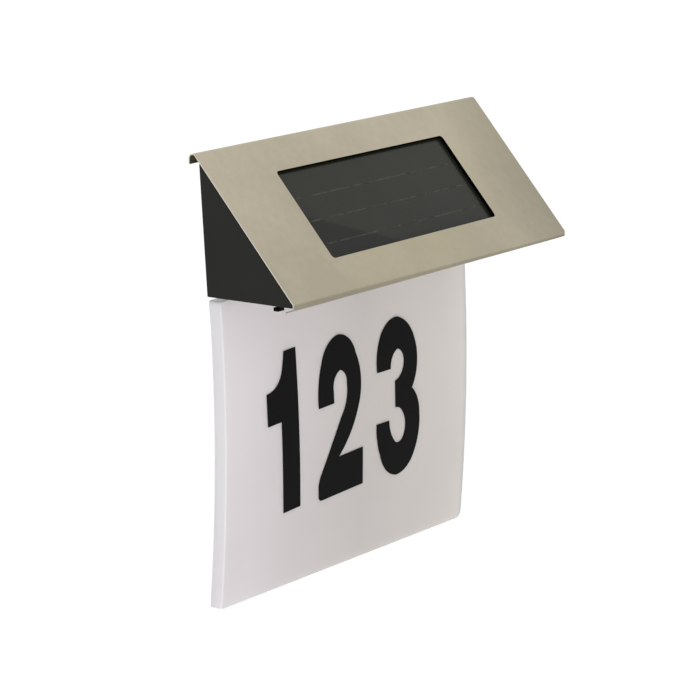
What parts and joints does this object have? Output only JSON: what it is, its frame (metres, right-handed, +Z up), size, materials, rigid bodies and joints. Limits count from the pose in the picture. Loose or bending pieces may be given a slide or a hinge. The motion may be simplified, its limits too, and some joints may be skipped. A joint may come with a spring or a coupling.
{
  "type": "illuminated house number sign",
  "caption": "Wall-mounted solar house number sign: bowed edge-lit number panel hanging under a sloped steel hood with a solar window.",
  "frame": {"origin": "midway between the two keyholes, on the wall", "axes": "+Y into the wall, +Z up, +X to the viewer's right when facing the wall"},
  "size_m": [0.2, 0.0496, 0.1844],
  "materials": {
    "stainless_steel": "satin stainless sheet",
    "adhesive_tape": "matt acrylic foam tape",
    "black_abs": "fine matt texture",
    "opal_acrylic": "translucent opal, polished edges",
    "black_vinyl": "satin self-adhesive film",
    "circuit_board": "solder mask on glass fibre",
    "solar_silicon": "polycrystalline silicon strip",
    "tinned_copper": "tinned ribbon",
    "clear_resin": "clear epoxy, slightly satin",
    "foam_rubber": "closed cell foam",
    "battery_can": "plain printed sleeve on a steel can",
    "nickel_contact": "nickel plated spring steel",
    "zinc_screw": "zinc plated steel",
    "switch_case": "tinned steel case",
    "switch_cap": "black acetal",
    "chip_epoxy": "moulded epoxy",
    "inductor_body": "lacquered ferrite",
    "capacitor_can": "sleeved can",
    "lamp_board": "white solder mask",
    "lamp_package": "phosphor in a white package",
    "red_pvc": "pvc insulation",
    "black_pvc": "pvc insulation"
  },
  "bodies": {
    "sign": {"hood_cover": "stainless_steel", "hood_tape": "adhesive_tape", "housing": "black_abs", "back_cover": "black_abs", "light_panel": "opal_acrylic", "numeral_1": "black_vinyl", "numeral_2": "black_vinyl", "numeral_3": "black_vinyl", "solar_board": "circuit_board", "solar_cells": "solar_silicon", "solar_ribbons": "tinned_copper", "solar_resin": "clear_resin", "solar_seal": "foam_rubber", "battery_cell": "battery_can", "battery_terminal": "nickel_contact", "battery_spring": "nickel_contact", "switch_body": "switch_case", "control_board": "circuit_board", "control_chip": "chip_epoxy", "boost_inductor": "inductor_body", "smoothing_capacitor": "capacitor_can", "led_board": "lamp_board", "leds": "lamp_package", "case_screws": "zinc_screw", "panel_screws": "zinc_screw", "board_screws": "zinc_screw", "led_board_screws": "zinc_screw", "switch_lead_1": "red_pvc", "switch_lead_2": "black_pvc", "battery_lead_plus": "red_pvc", "battery_lead_minus": "black_pvc", "solar_lead_1": "red_pvc", "solar_lead_2": "black_pvc", "lamp_lead_1": "red_pvc", "lamp_lead_2": "black_pvc"},
    "switch": {"switch_slider": "switch_cap"},
    "battery_cover": {"battery_door": "black_abs", "door_seal": "foam_rubber", "door_screws": "zinc_screw"}
  },
  "joints": [
    {"name": "switch_slide", "type": "slide", "parent": "sign", "child": "switch", "axis": [1, 0, 0], "range_m": [0, 0.003]},
    {"name": "battery_cover_lift", "type": "slide", "parent": "sign", "child": "battery_cover", "axis": [0, 0, -1], "range_m": [0, 0.02]}
  ]
}
